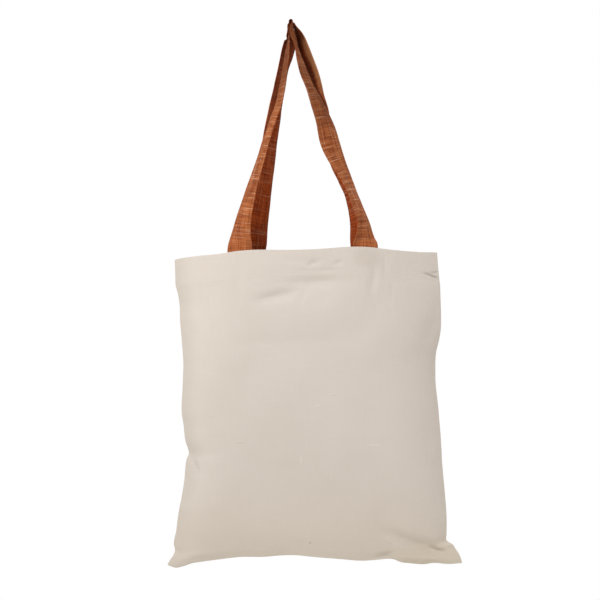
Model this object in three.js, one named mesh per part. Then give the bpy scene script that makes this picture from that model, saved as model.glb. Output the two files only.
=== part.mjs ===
// A cotton tote bag hanging by its two handles, as four sewn pieces: a front panel, a back panel,
// a front strap and a back strap. Millimetres, +Z up, and the front faces -Y.
// The origin is the axis of the peg that both handles hang over, which runs along Y.
// The bag hangs lightly filled out: its panels part towards the mouth and meet along the seams.
import * as THREE from "three";

// Cloth
const CLOTH = 1.0; // one layer of the panels
const HEM_LAYER = 1.0; // the layer turned inside along the mouth
const HEM_DEPTH = 38; // how far down it is turned in
const STEEPEST_WALL = 2.2; // limit on a wall measured along Y, in layers, where the cloth is steep
const SEAM_GAP = 0.3; // between the two panels along their seams

// Straps
const STRAP_WIDTH = 32;
const STRAP_THICKNESS = 1.4;
const STRAP_TAIL = 33; // sewn length inside the hem
const SEWN_GAP = 0.3; // between a strap's tail and the hem that it is sewn to
const SETTLING = 16; // height above the hem over which a strap leaves the panel's curve
const SQUARE_TO_PEG = 90; // turn of a strap where it lies over the peg

// The loops of the straps over the peg: middle and radius. The back one lies loosely over the front one.
const FRONT_LOOP = { x: 0, y: -11, z: 0, radius: 1.95 };
const BACK_LOOP = { x: 0.7, y: 13, z: -0.9, radius: 5 };

// Corners of the bag seen from the front
const BOTTOM_LEFT = { x: -159.5, z: -699.5 };
const BOTTOM_RIGHT = { x: 220.8, z: -696 };
const TOP_LEFT = { x: -151.2, z: -304 };
const TOP_RIGHT = { x: 189.9, z: -294.5 };

// Shares of the way up at which the hem starts, and over which its lower edge and its stiffness build up
const BAG_HEIGHT = (TOP_LEFT.z + TOP_RIGHT.z - BOTTOM_LEFT.z - BOTTOM_RIGHT.z) / 2;
const HEM_START = 1 - HEM_DEPTH / BAG_HEIGHT;
const HEM_STEP = 1.5 / BAG_HEIGHT;
const HEM_STIFFNESS = 12 / BAG_HEIGHT;
const CLEAR_OF_HEM = 5 / BAG_HEIGHT; // no other row of the panel is nearer to the hem's lower edge

// Limits of the form
const SEAM_REACH = 9; // the higher, the closer to its seam a seam's bend dies out
const DEEPEST_FOLD = 0.6; // of the belly's depth

// The side seams: x at each share of the way up, and how far each seam bends to the back
const SIDE_SEAMS = [
  { up: 0, left: -159.5, right: 220.8, leftBack: -6, rightBack: -10 },
  { up: 0.017, left: -156.5, right: 219.3, leftBack: -5, rightBack: -8 },
  { up: 0.036, left: -151.8, right: 215.3, leftBack: -2, rightBack: -4 },
  { up: 0.0455, left: -150.9, right: 212.7, leftBack: 0, rightBack: -1 },
  { up: 0.0605, left: -152.3, right: 205.8, leftBack: 2, rightBack: 3 },
  { up: 0.066, left: -152.6, right: 202.9, leftBack: 2, rightBack: 3.5 },
  { up: 0.105, left: -149.6, right: 202.6, leftBack: 1, rightBack: 2 },
  { up: 0.184, left: -145, right: 201.3, leftBack: -1, rightBack: 0 },
  { up: 0.2825, left: -138.5, right: 197.6, leftBack: 1, rightBack: -2 },
  { up: 0.3416, left: -136.2, right: 195.8, leftBack: 2, rightBack: -2 },
  { up: 0.3615, left: -133.1, right: 195.5, leftBack: 2.4, rightBack: -2 },
  { up: 0.4, left: -137, right: 194.8, leftBack: 1.5, rightBack: 0 },
  { up: 0.499, left: -142.1, right: 191.7, leftBack: 0, rightBack: 2 },
  { up: 0.579, left: -140.9, right: 188.6, leftBack: -1, rightBack: 5 },
  { up: 0.657, left: -139.9, right: 188.7, leftBack: 0, rightBack: 6 },
  { up: 0.716, left: -141.5, right: 192.9, leftBack: 1, rightBack: 3 },
  { up: 0.755, left: -142.8, right: 195, leftBack: 1.5, rightBack: 1 },
  { up: 0.854, left: -145.3, right: 194.3, leftBack: 3, rightBack: -1 },
  { up: 0.9135, left: -150, right: 192.8, leftBack: 1.5, rightBack: 0 },
  { up: 1, left: -151.2, right: 189.9, leftBack: 0, rightBack: 0 },
];

// The bottom seam: rise above the straight line between the corners, and bend to the back
const BOTTOM_SEAM = [
  { across: 0, rise: 0, back: 0 },
  { across: 0.0266, rise: -3.4, back: -2 },
  { across: 0.0815, rise: 1.2, back: 0 },
  { across: 0.191, rise: 5.6, back: 3 },
  { across: 0.246, rise: 7.6, back: 3 },
  { across: 0.3825, rise: 9.5, back: 1 },
  { across: 0.437, rise: 9.6, back: 1 },
  { across: 0.492, rise: 7.5, back: 0 },
  { across: 0.601, rise: 3.6, back: 1 },
  { across: 0.656, rise: 1.6, back: 2 },
  { across: 0.757, rise: 3.8, back: 5 },
  { across: 0.793, rise: -0.3, back: 2 },
  { across: 0.875, rise: -2.6, back: -2 },
  { across: 0.902, rise: -0.8, back: -3 },
  { across: 0.957, rise: -1.6, back: -2 },
  { across: 1, rise: 0, back: 0 },
];

// The mouth: rise above the straight line between the top corners, drawn up where the straps pull
const MOUTH = [
  { across: 0, rise: 0 },
  { across: 0.03, rise: 1.8 },
  { across: 0.12, rise: 4.2 },
  { across: 0.16, rise: 4.8 },
  { across: 0.245, rise: 8 },
  { across: 0.305, rise: 8.8 },
  { across: 0.433, rise: 7.4 },
  { across: 0.535, rise: 7.4 },
  { across: 0.67, rise: 9.2 },
  { across: 0.725, rise: 8.6 },
  { across: 0.825, rise: 4.2 },
  { across: 0.92, rise: 1 },
  { across: 1, rise: 0 },
];

// The belly: depth in front of and behind the seams, and how square its cross-section is
const BELLY = [
  { up: 0, front: 0, back: 0, square: 9 },
  { up: 0.03, front: 6, back: 5.5, square: 9 },
  { up: 0.08, front: 13, back: 11.5, square: 9 },
  { up: 0.16, front: 19, back: 17, square: 8.4 },
  { up: 0.28, front: 25.5, back: 23, square: 7.6 },
  { up: 0.42, front: 29.5, back: 26, square: 7 },
  { up: 0.6, front: 31.5, back: 28, square: 6.4 },
  { up: 0.78, front: 31.5, back: 28, square: 5 },
  { up: 0.9, front: 30.5, back: 27, square: 3.6 },
  { up: 1, front: 30, back: 26, square: 2.6 },
];

// Folds and dents of the front: middle, half length and half width, angle above the horizontal in
// degrees, and depth, which is positive where the cloth sinks in
const FRONT_FOLDS = [
  { x: -15, z: -349, length: 25, width: 9, angle: 10, depth: 3.4 }, // swag under the hem
  { x: 62, z: -359.5, length: 40, width: 24, angle: 50, depth: -1.6 }, // roll below the swag
  { x: -10, z: -408, length: 60, width: 12, angle: 4, depth: 1.6 }, // hollow below the roll
  { x: -118, z: -569.5, length: 30, width: 9, angle: -62, depth: 3.5 }, // pinch at the left seam
  { x: 181, z: -394.5, length: 24, width: 12, angle: 70, depth: 4.2 }, // dent at the right seam
  { x: 164, z: -675.5, length: 42, width: 9, angle: -20, depth: 6 }, // fold above the right ear
  { x: 120, z: -688, length: 10, width: 6, angle: 12, depth: 4 }, // tuck at the bottom seam
  { x: -140, z: -685, length: 20, width: 8, angle: 50, depth: 2 }, // fold above the left ear
];

// Folds and dents of the back
const BACK_FOLDS = [
  { x: 18, z: -340, length: 80, width: 10, angle: -3, depth: 3 },
  { x: -70, z: -555, length: 60, width: 14, angle: 38, depth: 3.2 },
  { x: 120, z: -495, length: 70, width: 16, angle: -48, depth: 2.8 },
  { x: 20, z: -645, length: 70, width: 14, angle: 6, depth: 3.4 },
  { x: 166, z: -661.5, length: 44, width: 10, angle: -24, depth: 6 },
  { x: -128, z: -669.5, length: 30, width: 9, angle: 34, depth: 4 },
];

// Each leg of a strap from the hem to the peg: drop below the peg, place of its middle, the angle in
// plan of its width (0 is flat to the front on the left leg, 90 edge-on, 180 flat on the right leg)
// and the sag of its middle out of flat
const FRONT_LEFT_LEG = [
  { drop: 292, x: -65, y: -23, turn: 0, curl: 0 },
  { drop: 273, x: -63.8, y: -22.8, turn: 36, curl: 0.6 },
  { drop: 255, x: -61, y: -22.5, turn: 48, curl: 1.2 },
  { drop: 221, x: -52.3, y: -21.5, turn: 60, curl: 1.8 },
  { drop: 174, x: -38, y: -20, turn: 69, curl: 1.8 },
  { drop: 148, x: -30.5, y: -19.2, turn: 70.5, curl: 1.6 },
  { drop: 129, x: -24.2, y: -18.5, turn: 71, curl: 1.5 },
  { drop: 109, x: -17, y: -17.8, turn: 71.5, curl: 1.2 },
  { drop: 90, x: -12.4, y: -17, turn: 74, curl: 1 },
  { drop: 51, x: -6.2, y: -15, turn: 77.5, curl: 0.6 },
  { drop: 32, x: -4.4, y: -14, turn: 81, curl: 0.3 },
  { drop: 16, x: -2.7, y: -12.5, turn: 89, curl: 0.2 },
];
const FRONT_RIGHT_LEG = [
  { drop: 287, x: 95.4, y: -23, turn: 180, curl: 0 },
  { drop: 280, x: 94.8, y: -22.9, turn: 151, curl: 0.3 },
  { drop: 272, x: 94.5, y: -22.8, turn: 135, curl: 0.6 },
  { drop: 255, x: 92.4, y: -22.5, turn: 119, curl: 1 },
  { drop: 240, x: 87, y: -22, turn: 117, curl: 1.3 },
  { drop: 221, x: 79.8, y: -21.5, turn: 116, curl: 1.6 },
  { drop: 197.5, x: 69.5, y: -20.8, turn: 122, curl: 1.8 },
  { drop: 174, x: 57.8, y: -20, turn: 138, curl: 2 },
  { drop: 155, x: 50.4, y: -19.6, turn: 145, curl: 2 },
  { drop: 129, x: 43.4, y: -19, turn: 135, curl: 1.8 },
  { drop: 108, x: 35.4, y: -18.2, turn: 127, curl: 2.2 },
  { drop: 90, x: 27.8, y: -17.5, turn: 117.5, curl: 2.6 },
  { drop: 79, x: 22.6, y: -16.9, turn: 113.5, curl: 2.9 },
  { drop: 69, x: 18.7, y: -16.2, turn: 113, curl: 3 },
  { drop: 51, x: 12.5, y: -15, turn: 107, curl: 2.8 },
  { drop: 32, x: 7.2, y: -14, turn: 98, curl: 1.6 },
  { drop: 16, x: 2.9, y: -12.5, turn: 104, curl: 0.8 },
  { drop: 8, x: 2.1, y: -11.8, turn: 100, curl: 0.4 },
];
const BACK_LEFT_LEG = [
  { drop: 292, x: -48.8, y: 20, turn: 0, curl: 0 },
  { drop: 255, x: -44.9, y: 20.5, turn: 26, curl: 1 },
  { drop: 221, x: -39, y: 21, turn: 41, curl: 1.6 },
  { drop: 174, x: -31.6, y: 21, turn: 52, curl: 1.8 },
  { drop: 129, x: -25, y: 20.5, turn: 56.5, curl: 1.6 },
  { drop: 90, x: -17.9, y: 20, turn: 64, curl: 1 },
  { drop: 51, x: -10.1, y: 19, turn: 68, curl: 0.6 },
  { drop: 32, x: -4.9, y: 18, turn: 62, curl: 0.4 },
  { drop: 16, x: -1.2, y: 16, turn: 65, curl: 0.2 },
  { drop: 10, x: -3.2, y: 15, turn: 78, curl: 0.1 },
];
const BACK_RIGHT_LEG = [
  { drop: 287, x: 94.3, y: 20, turn: 180, curl: 0 },
  { drop: 255, x: 90, y: 20.5, turn: 139, curl: 1 },
  { drop: 221, x: 80, y: 21, turn: 118, curl: 1.4 },
  { drop: 197.5, x: 69.8, y: 21, turn: 117, curl: 1.5 },
  { drop: 174, x: 58.6, y: 21, turn: 117, curl: 1.6 },
  { drop: 129, x: 46, y: 20.5, turn: 110, curl: 1.4 },
  { drop: 109, x: 42.8, y: 20.2, turn: 113, curl: 1.3 },
  { drop: 90, x: 38.6, y: 20, turn: 105.5, curl: 1.2 },
  { drop: 69, x: 32.6, y: 19.5, turn: 111, curl: 2.2 },
  { drop: 51, x: 26.1, y: 18.5, turn: 114, curl: 2.2 },
  { drop: 32, x: 17.5, y: 17.5, turn: 119, curl: 1.8 },
  { drop: 16, x: 13.2, y: 15.5, turn: 109, curl: 0.8 },
  { drop: 6, x: 8.7, y: 14.2, turn: 101, curl: 0.3 },
];

// How finely the cloth is divided
const PANEL_COLUMNS = 26;
const PANEL_ROWS = 32;
const STRAP_COLUMNS = 4;
const STRAP_STEPS = 3; // between two rows of a leg's table
const TAIL_STEPS = 3;
const PEG_KNOTS = 5;
const EDGE_CROWDING = 0.6; // 0 spaces the panel's columns and rows evenly, 1 crowds them at the edges
const SLOPE_STEP = 0.004; // share of the panel over which its slope is measured

const { lerp, degToRad, smoothstep } = THREE.MathUtils;

// Reads a table at any value of its key column, on a smooth curve through each other column.
function smoothTable(rows, key) {
  const names = Object.keys(rows[0]).filter((name) => name !== key);
  const keys = rows.map((row) => row[key]);
  const values = rows.flatMap((row) => names.map((name) => row[name]));
  const spline = new THREE.CubicInterpolant(keys, values, names.length, new Float32Array(names.length));
  return (at) => {
    const found = spline.evaluate(at);
    return Object.fromEntries(names.map((name, i) => [name, found[i]]));
  };
}

const sideSeamsAt = smoothTable(SIDE_SEAMS, "up");
const bottomSeamAt = smoothTable(BOTTOM_SEAM, "across");
const mouthAt = smoothTable(MOUTH, "across");
const bellyAt = smoothTable(BELLY, "up");

// Sum of the folds at a point seen from the front.
function foldDepth(folds, x, z) {
  return folds.reduce((sum, fold) => {
    const angle = degToRad(fold.angle);
    const along = (x - fold.x) * Math.cos(angle) + (z - fold.z) * Math.sin(angle);
    const beside = (z - fold.z) * Math.cos(angle) - (x - fold.x) * Math.sin(angle);
    return sum + fold.depth * Math.exp(-((along / fold.length) ** 2) - (beside / fold.width) ** 2);
  }, 0);
}

// What differs between the two panels: the side of the seams that they lie on, and their table columns.
const FRONT = { side: -1, belly: "front", folds: FRONT_FOLDS };
const BACK = { side: 1, belly: "back", folds: BACK_FOLDS };

// A point of a panel's outer face, for its share of the way across from the left seam and up.
function outerPoint(panel, across, up) {
  const sides = sideSeamsAt(up);
  const bottom = bottomSeamAt(across);
  const belly = bellyAt(up);
  const x = lerp(sides.left, sides.right, across);
  const bottomZ = lerp(BOTTOM_LEFT.z, BOTTOM_RIGHT.z, across) + bottom.rise;
  const topZ = lerp(TOP_LEFT.z, TOP_RIGHT.z, across) + mouthAt(across).rise;
  const z = lerp(bottomZ, topZ, up);
  const sideBend = sides.leftBack * (1 - across) ** SEAM_REACH + sides.rightBack * across ** SEAM_REACH;
  const seam = sideBend + bottom.back * (1 - up) ** SEAM_REACH;
  const round = 1 - Math.abs(2 * across - 1) ** belly.square;
  const depth = Math.max(0, belly[panel.belly]) * round;
  const loose = 1 - smoothstep(up, HEM_START - HEM_STIFFNESS, HEM_START);
  const fold = loose * Math.min(foldDepth(panel.folds, x, z), DEEPEST_FOLD * depth);
  const y = seam + panel.side * (SEAM_GAP / 2 + CLOTH + depth - fold);
  return { point: new THREE.Vector3(x, y, z), seam };
}

// How far across the wall reaches along Y, so that a steep stretch keeps its thickness.
function wallAlongY(panel, across, up, layers) {
  const [left, right] = [Math.max(0, across - SLOPE_STEP), Math.min(1, across + SLOPE_STEP)];
  const [low, high] = [Math.max(0, up - SLOPE_STEP), Math.min(1, up + SLOPE_STEP)];
  const over = outerPoint(panel, right, up).point.sub(outerPoint(panel, left, up).point);
  const rise = outerPoint(panel, across, high).point.sub(outerPoint(panel, across, low).point);
  const facing = Math.abs(over.cross(rise).normalize().y);
  return layers * Math.min(1 / facing, STEEPEST_WALL);
}

// The point behind an outer point on the panel's inner face, never past the seam.
function innerPoint(panel, across, up, layers) {
  const { point, seam } = outerPoint(panel, across, up);
  const wanted = point.y - panel.side * wallAlongY(panel, across, up, layers);
  const nearest = seam + (panel.side * SEAM_GAP) / 2;
  point.y = panel.side * Math.max(panel.side * wanted, panel.side * nearest);
  return point;
}

// A closed solid between two faces of points in rows, the first face outwards.
function sheetGeometry(outer, inner) {
  const rows = outer.length;
  const columns = outer[0].length;
  const positions = [...outer.flat(), ...inner.flat()].flatMap((point) => point.toArray());
  const at = (face, row, column) => (face * rows + row) * columns + column;
  const quads = [];
  for (let row = 0; row + 1 < rows; row += 1) {
    for (let column = 0; column + 1 < columns; column += 1) {
      const corners = [
        [row, column],
        [row, column + 1],
        [row + 1, column + 1],
        [row + 1, column],
      ];
      quads.push(corners.map(([r, c]) => at(0, r, c)));
      quads.push(corners.map(([r, c]) => at(1, r, c)).reverse());
    }
  }
  for (let row = 0; row + 1 < rows; row += 1) {
    const last = columns - 1;
    quads.push([at(0, row, 0), at(0, row + 1, 0), at(1, row + 1, 0), at(1, row, 0)]);
    quads.push([at(0, row + 1, last), at(0, row, last), at(1, row, last), at(1, row + 1, last)]);
  }
  for (let column = 0; column + 1 < columns; column += 1) {
    const last = rows - 1;
    quads.push([at(0, 0, column + 1), at(0, 0, column), at(1, 0, column), at(1, 0, column + 1)]);
    quads.push([at(0, last, column), at(0, last, column + 1), at(1, last, column + 1), at(1, last, column)]);
  }
  const geometry = new THREE.BufferGeometry();
  geometry.setAttribute("position", new THREE.Float32BufferAttribute(positions, 3));
  geometry.setIndex(quads.flatMap(([a, b, c, d]) => [a, b, c, a, c, d]));
  geometry.computeVertexNormals();
  return geometry;
}

// Shares from 0 to 1, closer together at both ends.
function crowdedShares(count) {
  return Array.from({ length: count + 1 }, (_, i) => {
    const even = i / count;
    return lerp(even, (1 - Math.cos(Math.PI * even)) / 2, EDGE_CROWDING);
  });
}

// One panel: a single layer of cloth, with a second layer inside along its hem.
function panelGeometry(panel) {
  const clearOfHem = (up) => Math.abs(up - HEM_START) > CLEAR_OF_HEM;
  const ups = [...crowdedShares(PANEL_ROWS).filter(clearOfHem), HEM_START - HEM_STEP, HEM_START];
  ups.sort((a, b) => a - b);
  const across = crowdedShares(PANEL_COLUMNS);
  const layersAt = (up) => (up < HEM_START ? CLOTH : CLOTH + HEM_LAYER);
  const outer = ups.map((up) => across.map((share) => outerPoint(panel, share, up).point));
  const inner = ups.map((up) => across.map((share) => innerPoint(panel, share, up, layersAt(up))));
  return panel.side < 0 ? sheetGeometry(outer, inner) : sheetGeometry(inner, outer);
}

// Angle round a loop's middle at which a leg that comes straight up from its top row meets the loop.
function loopTouch(row, loop, turning) {
  const beside = row.x - loop.x;
  const above = -row.drop - loop.z;
  return Math.atan2(above, beside) + turning * Math.acos(loop.radius / Math.hypot(beside, above));
}

// The stretch of a strap from hem to hem as sections, each with a middle, a turn and a curl.
function strapSections({ leftLeg, rightLeg, loop }) {
  const onLeg = ({ drop, x, y, turn, curl }) => ({ middle: new THREE.Vector3(x, y, -drop), turn, curl });
  const leftTouch = 2 * Math.PI + loopTouch(leftLeg.at(-1), loop, -1);
  const rightTouch = loopTouch(rightLeg.at(-1), loop, 1);
  const overPeg = Array.from({ length: PEG_KNOTS }, (_, i) => {
    const angle = lerp(leftTouch, rightTouch, i / (PEG_KNOTS - 1));
    const outwards = new THREE.Vector3(Math.cos(angle), 0, Math.sin(angle));
    const middle = outwards.multiplyScalar(loop.radius).add(loop);
    return { middle, turn: SQUARE_TO_PEG, curl: 0 };
  });
  const knots = [...leftLeg.map(onLeg), ...overPeg, ...rightLeg.map(onLeg).reverse()];
  const path = new THREE.CatmullRomCurve3(knots.map((knot) => knot.middle), false, "centripetal");
  const shape = new THREE.CatmullRomCurve3(
    knots.map((knot) => new THREE.Vector3(knot.turn, knot.curl, 0)),
    false,
    "catmullrom",
  );
  const count = (knots.length - 1) * STRAP_STEPS;
  return Array.from({ length: count + 1 }, (_, i) => {
    const { x: turn, y: curl } = shape.getPoint(i / count);
    return { middle: path.getPoint(i / count), along: path.getTangent(i / count), turn, curl };
  });
}

const SHARES_OVER_STRAP = Array.from({ length: STRAP_COLUMNS + 1 }, (_, i) => i / STRAP_COLUMNS - 0.5);

// The two faces of a strap across one section. Side is -1 on the front strap and 1 on the back one.
function freeFaces(section, side) {
  const turn = degToRad(section.turn);
  const over = new THREE.Vector3(Math.cos(turn), side * Math.sin(turn), 0);
  over.addScaledVector(section.along, -over.dot(section.along)).normalize();
  const facing = section.along.clone().cross(over).multiplyScalar(side);
  const place = (share, offset) => {
    const bow = section.curl * (1 - (2 * share) ** 2);
    return section.middle
      .clone()
      .addScaledVector(over, share * STRAP_WIDTH)
      .addScaledVector(facing, bow + offset);
  };
  return {
    outer: SHARES_OVER_STRAP.map((share) => place(share, STRAP_THICKNESS / 2)),
    inner: SHARES_OVER_STRAP.map((share) => place(share, -STRAP_THICKNESS / 2)),
  };
}

// The two faces of a strap where it lies against the inside of the hem, at a height on or over it.
function sewnFaces(panel, middleShare, direction, up, above) {
  const width = TOP_RIGHT.x - TOP_LEFT.x;
  const face = (gap) =>
    SHARES_OVER_STRAP.map((share) => {
      const across = middleShare + (direction * share * STRAP_WIDTH) / width;
      const point = innerPoint(panel, across, up, CLOTH + HEM_LAYER);
      point.y -= panel.side * gap;
      point.z += above;
      return point;
    });
  return { outer: face(SEWN_GAP), inner: face(SEWN_GAP + STRAP_THICKNESS) };
}

// Share of the way across the mouth at which a leg's middle meets the hem.
function shareAtHem(leg) {
  return (leg[0].x - TOP_LEFT.x) / (TOP_RIGHT.x - TOP_LEFT.x);
}

// One whole strap: a tail sewn inside the hem, the left leg, the loop over the peg, the right leg, a tail.
function strapGeometry({ panel, leftLeg, rightLeg, loop }) {
  const mix = (sewn, free, share) => sewn.map((point, i) => point.lerp(free[i], share));
  const ends = [
    { middle: shareAtHem(leftLeg), direction: 1, drop: leftLeg[0].drop },
    { middle: shareAtHem(rightLeg), direction: -1, drop: rightLeg[0].drop },
  ];
  const tailRows = ends.map((end) =>
    Array.from({ length: TAIL_STEPS }, (_, i) => {
      const up = 1 - (STRAP_TAIL / BAG_HEIGHT) * (1 - i / TAIL_STEPS);
      return sewnFaces(panel, end.middle, end.direction, up, 0);
    }),
  );
  const sections = strapSections({ leftLeg, rightLeg, loop });
  const freeRows = sections.map((section, i) => {
    const end = i < sections.length / 2 ? ends[0] : ends[1];
    const above = Math.max(0, section.middle.z + end.drop);
    const free = freeFaces(section, panel.side);
    if (above >= SETTLING) return free;
    const sewn = sewnFaces(panel, end.middle, end.direction, 1, above);
    const share = smoothstep(above, 0, SETTLING);
    return { outer: mix(sewn.outer, free.outer, share), inner: mix(sewn.inner, free.inner, share) };
  });
  const rows = [...tailRows[0], ...freeRows, ...tailRows[1].reverse()];
  const outer = rows.map((row) => row.outer);
  const inner = rows.map((row) => row.inner);
  return panel.side < 0 ? sheetGeometry(outer, inner) : sheetGeometry(inner, outer);
}

const calico = new THREE.MeshStandardMaterial({ color: 0xded2c5, roughness: 0.95, metalness: 0 });
const handloom = new THREE.MeshStandardMaterial({ color: 0xa8623d, roughness: 0.9, metalness: 0 });

function piece(name, geometry, material) {
  const mesh = new THREE.Mesh(geometry, material);
  mesh.name = name;
  return mesh;
}

const FRONT_STRAP = { panel: FRONT, leftLeg: FRONT_LEFT_LEG, rightLeg: FRONT_RIGHT_LEG, loop: FRONT_LOOP };
const BACK_STRAP = { panel: BACK, leftLeg: BACK_LEFT_LEG, rightLeg: BACK_RIGHT_LEG, loop: BACK_LOOP };

const tote = new THREE.Group();
tote.name = "tote_bag";
tote.add(
  piece("front_panel", panelGeometry(FRONT), calico),
  piece("back_panel", panelGeometry(BACK), calico),
  piece("front_strap", strapGeometry(FRONT_STRAP), handloom),
  piece("back_strap", strapGeometry(BACK_STRAP), handloom),
);

export default tote;
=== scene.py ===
"""A cotton tote bag hung by its two handloom straps. Metres, +Z up, and its front faces -Y.
The tables are in millimetres, and the origin is the peg that both straps hang over."""

import math
import random
from collections import namedtuple

import bmesh
import bpy
import numpy as np
from mathutils import Matrix, Vector, noise


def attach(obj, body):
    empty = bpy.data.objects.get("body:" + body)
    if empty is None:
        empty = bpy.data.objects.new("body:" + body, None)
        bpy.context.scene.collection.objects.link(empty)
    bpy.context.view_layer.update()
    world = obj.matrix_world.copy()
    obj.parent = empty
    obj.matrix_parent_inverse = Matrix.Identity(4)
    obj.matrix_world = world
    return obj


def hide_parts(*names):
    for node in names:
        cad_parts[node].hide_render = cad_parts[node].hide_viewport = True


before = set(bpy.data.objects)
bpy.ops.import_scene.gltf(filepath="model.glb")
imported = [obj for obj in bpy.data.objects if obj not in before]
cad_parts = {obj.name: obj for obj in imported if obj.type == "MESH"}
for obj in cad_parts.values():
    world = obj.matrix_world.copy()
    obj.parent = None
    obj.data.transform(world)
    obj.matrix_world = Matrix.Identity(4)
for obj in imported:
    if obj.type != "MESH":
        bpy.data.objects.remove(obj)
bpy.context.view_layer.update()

MM = 0.001
TINY = 1e-9  # keeps a division from failing

# Cloth of the bag
CLOTH = 0.8  # one layer
HEM_WALL = 2.0  # the hem's folded layers together
HEM_DEPTH = 38
HEM_STEP = 0.5  # half the height over which the hem's thickness ends
HEM_STITCH = 36  # stitch line below the mouth
SEAM_ROUND = 1.1  # rounding of a panel's edge into the seam
SEAM_GAP = 0.12
SEAM_FADE = 9  # power by which a seam's bend dies away over the panel
STEEPEST_WALL = 2.2  # most times deeper that a slanting wall is along y
STITCH_GROOVE = 0.14  # how deep a line of stitches pulls the cloth in
STITCH_GROOVE_WIDTH = 0.9
GROOVE_START = 3  # the groove is full this far in from the seams
TUCK_START = 4  # and so are the tucks

# Straps
STRAP_WIDTH = 32
STRAP_THICKNESS = 1.4
STRAP_TAIL = 33
STRAP_STITCH = 2.7  # stitch line in from each edge
STRAP_GROOVE = 0.26
STRAP_GROOVE_WIDTH = 0.6
TAIL_BOX_TOP, TAIL_BOX_BOTTOM = 4, 29  # stitched box on each tail, below the mouth
SEWN_GAP = 0.15
SETTLING = 11  # height over which a strap comes free of the hem
SQUARE_TO_PEG = 90  # turn of a strap where it lies over the peg

# Loops over the peg: middle x, y and z, and radius. The back strap lies loosely over the front one.
FRONT_LOOP = (0, -11, 0, 1.95)
BACK_LOOP = (0.7, 13, -0.9, 5)

# Stitches: length, pitch and thickness
HEM_THREAD = (2.4, 3.0, 0.5)
STRAP_THREAD = (2.3, 2.9, 0.45)
STITCH_LENGTHS = (0.9, 1.05)  # shortest and longest, as shares of the length
STITCH_SUNK = 0.2  # how far a strap's stitches lie in its face
HEM_STITCH_INSET = 0.008  # share of the width left bare at each end of the hem

# Corners of the bag seen from the front
BOTTOM_LEFT_Z, BOTTOM_RIGHT_Z = -699.5, -696
TOP_LEFT_X, TOP_RIGHT_X = -150.5, 189.5
TOP_LEFT_Z, TOP_RIGHT_Z = -304, -294.5
TOP_WIDTH = TOP_RIGHT_X - TOP_LEFT_X
BAG_HEIGHT = (TOP_LEFT_Z + TOP_RIGHT_Z - BOTTOM_LEFT_Z - BOTTOM_RIGHT_Z) / 2
HEM_START = 1 - HEM_DEPTH / BAG_HEIGHT
HEM_STIFFNESS = 12 / BAG_HEIGHT  # share of the height over which the cloth grows stiff

# Waves of the cloth: height, length and seed
LONG_WAVES = (0.8, 62, 0)
SHORT_WAVES = (0.2, 21, 7)
SEAM_PUCKERS = (0.35, 9, 3)
PUCKER_REACH = 5  # in from the seams
HEM_WAVES = 0.35  # share of the waves that the stiff hem keeps
STRAP_WANDER = (0.4, 26, 0.5)  # height, length and seed of a strap's sideways wander
STRAP_WAVES = (0.5, 17, 12)  # height, length along and length across of the waves of its face
TAUT_TO, SLACK_FROM = 25, 65  # a strap is taut up to here from the peg, and slack from there on

# Most that the folds sink in and stand out: share of the panel's depth, share of the way in from the seams
DEEPEST_FOLD = (0.75, 0.05)
HIGHEST_FOLD = (0.3, 0.12)

# Shape of a fold across its half width
CREASE_ROUND, CREASE_STEEPNESS = 0.02, 1.6
TUCK_ABOVE = 0.9  # a tuck is deepest this far above the fold, and reaches as far again
SHADE_ABOVE, SHADE_REACH = 0.25, 0.6  # where a tucked fold looks dark
FULL_SHADE_TUCK = 3

# Grids of the panels and straps
SEAM_STOPS = [0, 0.12, 0.35, 0.7, 1.1, 1.7, 2.6, 4, 6]  # in from a seam
COLUMN_SPACING, ROW_SPACING = 2.1, 2.2
HEM_LINE_ROWS, HEM_LINE_MARGIN = 11, 2  # along the hem's stitches and its end, and past both
ROW_CLEARANCE = 0.6  # between fine and plain rows
ROLL_ROWS = 9  # over the mouth's rolled edge
SLOPE_STEP = 0.004  # share of a panel over which its slope is measured
LOOP_KNOTS = 9  # of a strap's line over the peg
LINE_SAMPLES = 6000  # by which a strap's line is measured
SECTION_SPACING = 2  # along a strap, away from the peg
PEG_CROWDING, PEG_REACH = 5, 9  # how much closer a strap's sections lie near the peg, and how near
BESIDE_STITCHES = (1, 0.45, 0, -0.45, -1)  # places beside a strap's stitch line
STRAP_FACE = np.linspace(-10, 10, 9)  # places between its two stitch lines
EDGE_ROWS = 6  # round a strap's edge
TAIL_ROWS = 14  # along a sewn tail
HEM_LINE_POINTS, BOX_SIDE_POINTS = 300, 14  # along the hem's and the boxes' stitch lines
MERGE_DISTANCE, SMALLEST_EDGE = 1e-6, 1e-7

# Closer rows of a panel where creases are fine: from and to above the bottom, spacing
FINE_ROWS = [(9.5, 27, 1), (365.3, 377, 0.65)]

# Painted shade, painted light and darkening of the straps: how strong, and the drops where each starts, is
# full, fades and ends on the way up
PAST_PEG = (-9, -10)  # for darkening that goes on over the top
# painted shade on the front strap's right leg, next to the back strap
FRONT_RIGHT_SHADED = (0.62, 150, 108, 100, 50)
# darker higher up the legs, and darker still near the top
FRONT_RIGHT_DARKER_UP = (0.44, 150, 115, *PAST_PEG)
FRONT_RIGHT_DARKER_TOP = (0.62, 55, 25, *PAST_PEG)
FRONT_LEFT_DARKER_UP = (0.62, 125, 62, *PAST_PEG)
FRONT_LEFT_DARKER_TOP = (0.3, 34, 10, *PAST_PEG)
# painted shade in the hollow between the two straps, on the back strap's right leg
BACK_RIGHT_HOLLOW_SHADE = (0.95, 145, 105, 14, 3)
# painted light along the back strap's right leg, on its inner face
BACK_RIGHT_PAINTED_LIGHT = (0.8, 105, 55, 24, 4)
BACK_LEFT_DARKER_UP = (0.2, 110, 70, *PAST_PEG)
# darker round the peg
PEG_DARKENING, PEG_DARKENING_REACH = 0.8, 7
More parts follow.
